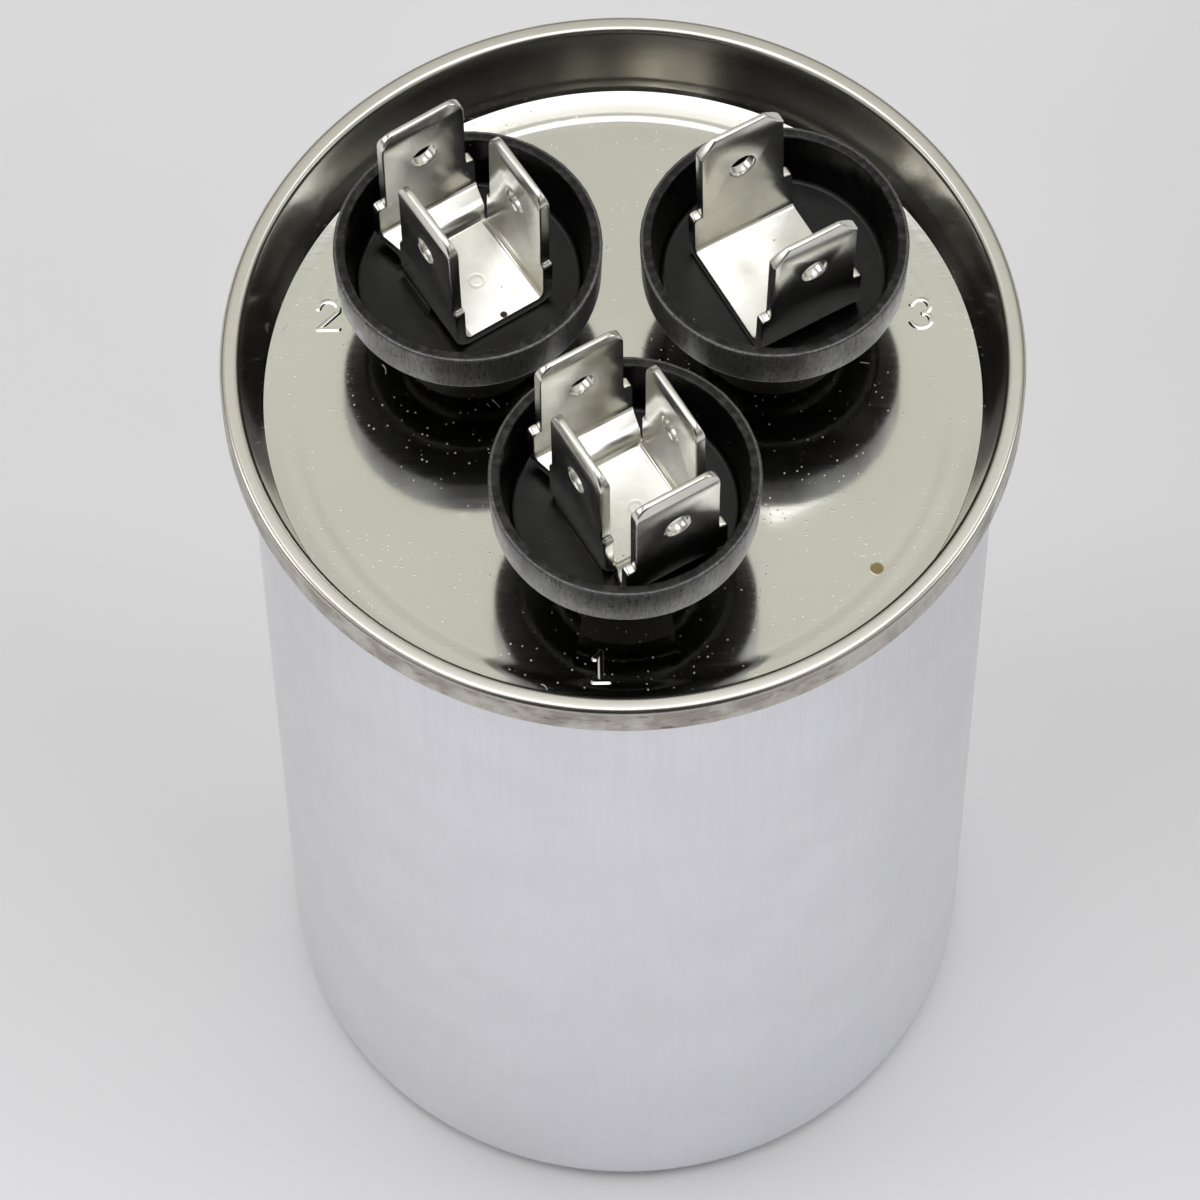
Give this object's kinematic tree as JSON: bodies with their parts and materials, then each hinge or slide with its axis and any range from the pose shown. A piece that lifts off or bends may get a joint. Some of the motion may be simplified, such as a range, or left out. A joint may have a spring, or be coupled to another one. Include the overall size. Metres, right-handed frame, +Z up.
{
  "type": "motor run capacitor",
  "caption": "Round dual motor run capacitor: drawn aluminium can, double-seamed lid, black terminal cups with quick-connect blades.",
  "frame": {"origin": "centre of the can's base, on the face it stands on", "axes": "+Z up along the can's axis, -Y towards the four-blade terminal, +X towards the two-blade terminal's side"},
  "size_m": [0.0538, 0.0538, 0.0927],
  "materials": {
    "can_aluminium": "drawn, matte, with faint draw lines",
    "lid_tinplate": "bright rolled tinplate",
    "seam_sealant": "cured sealing compound",
    "cup_plastic": "moulded, semi-gloss black",
    "terminal_tin": "bright tin plate on brass strip",
    "pin_brass": "turned and staked",
    "gasket_rubber": "moulded",
    "washer_phenolic": "stamped phenolic sheet",
    "lug_tin": "tinned brass",
    "lead_copper": "tinned copper strap",
    "plate_phenolic": "stamped phenolic board",
    "ring_plastic": "moulded polypropylene",
    "core_plastic": "extruded polypropylene",
    "metallised_film": "metallised polypropylene film, wound",
    "barrier_film": "plain film wrap",
    "sprayed_zinc": "sprayed zinc, grainy",
    "sleeve_board": "rolled electrical board",
    "bottom_cup_plastic": "moulded polypropylene"
  },
  "bodies": {
    "root": {"can": "can_aluminium", "lid": "lid_tinplate", "seam_compound": "seam_sealant", "cup_front": "cup_plastic", "cup_left": "cup_plastic", "cup_right": "cup_plastic", "terminal_front": "terminal_tin", "terminal_left": "terminal_tin", "terminal_right": "terminal_tin", "pin_front": "pin_brass", "pin_left": "pin_brass", "pin_right": "pin_brass", "gasket_front": "gasket_rubber", "gasket_left": "gasket_rubber", "gasket_right": "gasket_rubber", "washer_front": "washer_phenolic", "washer_left": "washer_phenolic", "washer_right": "washer_phenolic", "lug_front": "lug_tin", "lug_left": "lug_tin", "lug_right": "lug_tin", "lead_front": "lead_copper", "lead_left": "lead_copper", "lead_right": "lead_copper", "interrupter_plate": "plate_phenolic", "spacer_ring": "ring_plastic", "core_tube": "core_plastic", "winding_inner": "metallised_film", "winding_outer": "metallised_film", "section_barrier": "barrier_film", "end_metal_bottom": "sprayed_zinc", "end_metal_inner": "sprayed_zinc", "end_metal_outer": "sprayed_zinc", "insulating_sleeve": "sleeve_board", "bottom_cup": "bottom_cup_plastic"}
  },
  "joints": []
}
